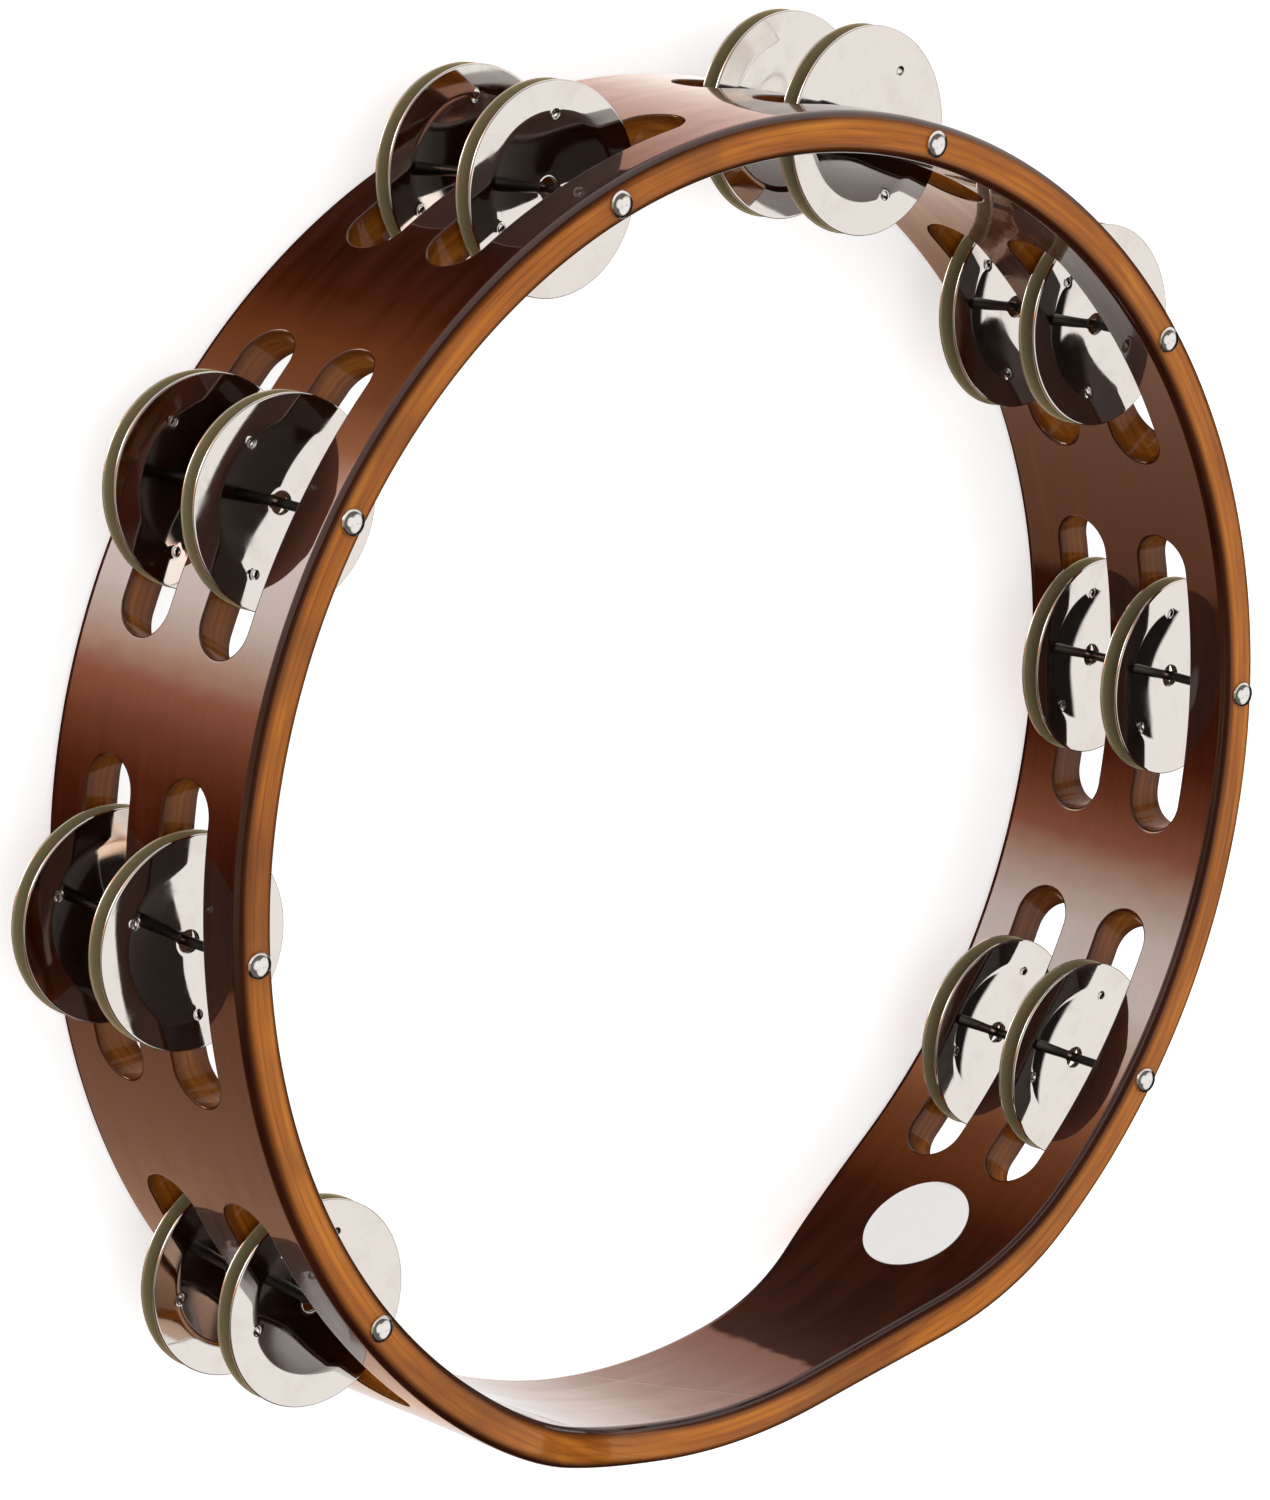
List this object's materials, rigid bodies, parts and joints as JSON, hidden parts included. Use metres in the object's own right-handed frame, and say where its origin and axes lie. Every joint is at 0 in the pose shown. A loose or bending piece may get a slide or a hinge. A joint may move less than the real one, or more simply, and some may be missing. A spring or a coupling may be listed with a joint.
{
  "type": "headless tambourine",
  "caption": "Headless wooden hoop tambourine with two rows of dished jingle pairs sliding and spinning on nails, and a narrowed rounded grip.",
  "frame": {"origin": "centre of the hoop, in the plane of its back edge, on which it lies", "axes": "+Z along the hoop's axis towards the front edge with the nail heads, +Y away from the grip"},
  "size_m": [0.285, 0.2633, 0.0554],
  "materials": {
    "lacquered_wood": "walnut stain under gloss lacquer",
    "nickel_plate": "polished nickel plate on steel",
    "nail_steel": "polished head, plain shank",
    "label_paper": "satin"
  },
  "bodies": {
    "hoop_body": {"hoop": "lacquered_wood", "nail_1": "nail_steel", "nail_2": "nail_steel", "nail_3": "nail_steel", "nail_4": "nail_steel", "nail_5": "nail_steel", "nail_6": "nail_steel", "nail_7": "nail_steel", "nail_8": "nail_steel", "label": "label_paper"},
    "jingle_1_back_rear": {"jingle_1_back_rear": "nickel_plate"},
    "jingle_1_back_fore": {"jingle_1_back_fore": "nickel_plate"},
    "jingle_1_front_rear": {"jingle_1_front_rear": "nickel_plate"},
    "jingle_1_front_fore": {"jingle_1_front_fore": "nickel_plate"},
    "jingle_2_back_rear": {"jingle_2_back_rear": "nickel_plate"},
    "jingle_2_back_fore": {"jingle_2_back_fore": "nickel_plate"},
    "jingle_2_front_rear": {"jingle_2_front_rear": "nickel_plate"},
    "jingle_2_front_fore": {"jingle_2_front_fore": "nickel_plate"},
    "jingle_3_back_rear": {"jingle_3_back_rear": "nickel_plate"},
    "jingle_3_back_fore": {"jingle_3_back_fore": "nickel_plate"},
    "jingle_3_front_rear": {"jingle_3_front_rear": "nickel_plate"},
    "jingle_3_front_fore": {"jingle_3_front_fore": "nickel_plate"},
    "jingle_4_back_rear": {"jingle_4_back_rear": "nickel_plate"},
    "jingle_4_back_fore": {"jingle_4_back_fore": "nickel_plate"},
    "jingle_4_front_rear": {"jingle_4_front_rear": "nickel_plate"},
    "jingle_4_front_fore": {"jingle_4_front_fore": "nickel_plate"},
    "jingle_5_back_rear": {"jingle_5_back_rear": "nickel_plate"},
    "jingle_5_back_fore": {"jingle_5_back_fore": "nickel_plate"},
    "jingle_5_front_rear": {"jingle_5_front_rear": "nickel_plate"},
    "jingle_5_front_fore": {"jingle_5_front_fore": "nickel_plate"},
    "jingle_6_back_rear": {"jingle_6_back_rear": "nickel_plate"},
    "jingle_6_back_fore": {"jingle_6_back_fore": "nickel_plate"},
    "jingle_6_front_rear": {"jingle_6_front_rear": "nickel_plate"},
    "jingle_6_front_fore": {"jingle_6_front_fore": "nickel_plate"},
    "jingle_7_back_rear": {"jingle_7_back_rear": "nickel_plate"},
    "jingle_7_back_fore": {"jingle_7_back_fore": "nickel_plate"},
    "jingle_7_front_rear": {"jingle_7_front_rear": "nickel_plate"},
    "jingle_7_front_fore": {"jingle_7_front_fore": "nickel_plate"},
    "jingle_8_back_rear": {"jingle_8_back_rear": "nickel_plate"},
    "jingle_8_back_fore": {"jingle_8_back_fore": "nickel_plate"},
    "jingle_8_front_rear": {"jingle_8_front_rear": "nickel_plate"},
    "jingle_8_front_fore": {"jingle_8_front_fore": "nickel_plate"}
  },
  "joints": [
    {"name": "slide_1_back", "type": "slide", "parent": "hoop_body", "child": "jingle_1_back_rear", "axis": [0, 0, 1], "range_m": [0, 0.00618]},
    {"name": "spin_1_back", "type": "hinge", "parent": "jingle_1_back_rear", "child": "jingle_1_back_fore", "pos_m": [-0.09737, -0.07539, 0.01326], "axis": [-0.0414, -0.032, 0.9986], "continuous": true},
    {"name": "slide_1_front", "type": "slide", "parent": "hoop_body", "child": "jingle_1_front_rear", "axis": [0, 0, 1], "range_m": [0, 0.00618]},
    {"name": "spin_1_front", "type": "hinge", "parent": "jingle_1_front_rear", "child": "jingle_1_front_fore", "pos_m": [-0.09737, -0.07539, 0.03456], "axis": [-0.0345, -0.0267, 0.999], "continuous": true},
    {"name": "slide_2_back", "type": "slide", "parent": "hoop_body", "child": "jingle_2_back_rear", "axis": [0, 0, 1], "range_m": [0, 0.00618]},
    {"name": "spin_2_back", "type": "hinge", "parent": "jingle_2_back_rear", "child": "jingle_2_back_fore", "pos_m": [-0.12312, -0.00269, 0.01326], "axis": [-0.0697, -0.0015, 0.9976], "continuous": true},
    {"name": "slide_2_front", "type": "slide", "parent": "hoop_body", "child": "jingle_2_front_rear", "axis": [0, 0, 1], "range_m": [0, 0.00618]},
    {"name": "spin_2_front", "type": "hinge", "parent": "jingle_2_front_rear", "child": "jingle_2_front_fore", "pos_m": [-0.12312, -0.00269, 0.03456], "axis": [-0.061, -0.0013, 0.9981], "continuous": true},
    {"name": "slide_3_back", "type": "slide", "parent": "hoop_body", "child": "jingle_3_back_rear", "axis": [0, 0, 1], "range_m": [0, 0.00618]},
    {"name": "spin_3_back", "type": "hinge", "parent": "jingle_3_back_rear", "child": "jingle_3_back_fore", "pos_m": [-0.10057, 0.07108, 0.01326], "axis": [-0.0712, 0.0503, 0.9962], "continuous": true},
    {"name": "slide_3_front", "type": "slide", "parent": "hoop_body", "child": "jingle_3_front_rear", "axis": [0, 0, 1], "range_m": [0, 0.00618]},
    {"name": "spin_3_front", "type": "hinge", "parent": "jingle_3_front_rear", "child": "jingle_3_front_fore", "pos_m": [-0.10057, 0.07108, 0.03456], "axis": [-0.0641, 0.0453, 0.9969], "continuous": true},
    {"name": "slide_4_back", "type": "slide", "parent": "hoop_body", "child": "jingle_4_back_rear", "axis": [0, 0, 1], "range_m": [0, 0.00618]},
    {"name": "spin_4_back", "type": "hinge", "parent": "jingle_4_back_rear", "child": "jingle_4_back_fore", "pos_m": [-0.03857, 0.11696, 0.01326], "axis": [-0.0191, 0.058, 0.9981], "continuous": true},
    {"name": "slide_4_front", "type": "slide", "parent": "hoop_body", "child": "jingle_4_front_rear", "axis": [0, 0, 1], "range_m": [0, 0.00618]},
    {"name": "spin_4_front", "type": "hinge", "parent": "jingle_4_front_rear", "child": "jingle_4_front_fore", "pos_m": [-0.03857, 0.11696, 0.03456], "axis": [-0.0164, 0.0497, 0.9986], "continuous": true},
    {"name": "slide_5_back", "type": "slide", "parent": "hoop_body", "child": "jingle_5_back_rear", "axis": [0, 0, 1], "range_m": [0, 0.00618]},
    {"name": "spin_5_back", "type": "hinge", "parent": "jingle_5_back_rear", "child": "jingle_5_back_fore", "pos_m": [0.03857, 0.11696, 0.01326], "axis": [0.0137, 0.0414, 0.999], "continuous": true},
    {"name": "slide_5_front", "type": "slide", "parent": "hoop_body", "child": "jingle_5_front_rear", "axis": [0, 0, 1], "range_m": [0, 0.00618]},
    {"name": "spin_5_front", "type": "hinge", "parent": "jingle_5_front_rear", "child": "jingle_5_front_fore", "pos_m": [0.03857, 0.11696, 0.03456], "axis": [0.0109, 0.0331, 0.9994], "continuous": true},
    {"name": "slide_6_back", "type": "slide", "parent": "hoop_body", "child": "jingle_6_back_rear", "axis": [0, 0, 1], "range_m": [0, 0.00618]},
    {"name": "spin_6_back", "type": "hinge", "parent": "jingle_6_back_rear", "child": "jingle_6_back_fore", "pos_m": [0.10057, 0.07108, 0.01326], "axis": [0.057, 0.0403, 0.9976], "continuous": true},
    {"name": "slide_6_front", "type": "slide", "parent": "hoop_body", "child": "jingle_6_front_rear", "axis": [0, 0, 1], "range_m": [0, 0.00618]},
    {"name": "spin_6_front", "type": "hinge", "parent": "jingle_6_front_rear", "child": "jingle_6_front_fore", "pos_m": [0.10057, 0.07108, 0.03456], "axis": [0.0499, 0.0352, 0.9981], "continuous": true},
    {"name": "slide_7_back", "type": "slide", "parent": "hoop_body", "child": "jingle_7_back_rear", "axis": [0, 0, 1], "range_m": [0, 0.00618]},
    {"name": "spin_7_back", "type": "hinge", "parent": "jingle_7_back_rear", "child": "jingle_7_back_fore", "pos_m": [0.12312, -0.00269, 0.01326], "axis": [0.1132, -0.0025, 0.9936], "continuous": true},
    {"name": "slide_7_front", "type": "slide", "parent": "hoop_body", "child": "jingle_7_front_rear", "axis": [0, 0, 1], "range_m": [0, 0.00618]},
    {"name": "spin_7_front", "type": "hinge", "parent": "jingle_7_front_rear", "child": "jingle_7_front_fore", "pos_m": [0.12312, -0.00269, 0.03456], "axis": [0.1045, -0.0023, 0.9945], "continuous": true},
    {"name": "slide_8_back", "type": "slide", "parent": "hoop_body", "child": "jingle_8_back_rear", "axis": [0, 0, 1], "range_m": [0, 0.00618]},
    {"name": "spin_8_back", "type": "hinge", "parent": "jingle_8_back_rear", "child": "jingle_8_back_fore", "pos_m": [0.09737, -0.07539, 0.01326], "axis": [0.0414, -0.032, 0.9986], "continuous": true},
    {"name": "slide_8_front", "type": "slide", "parent": "hoop_body", "child": "jingle_8_front_rear", "axis": [0, 0, 1], "range_m": [0, 0.00618]},
    {"name": "spin_8_front", "type": "hinge", "parent": "jingle_8_front_rear", "child": "jingle_8_front_fore", "pos_m": [0.09737, -0.07539, 0.03456], "axis": [0.0345, -0.0267, 0.999], "continuous": true}
  ]
}
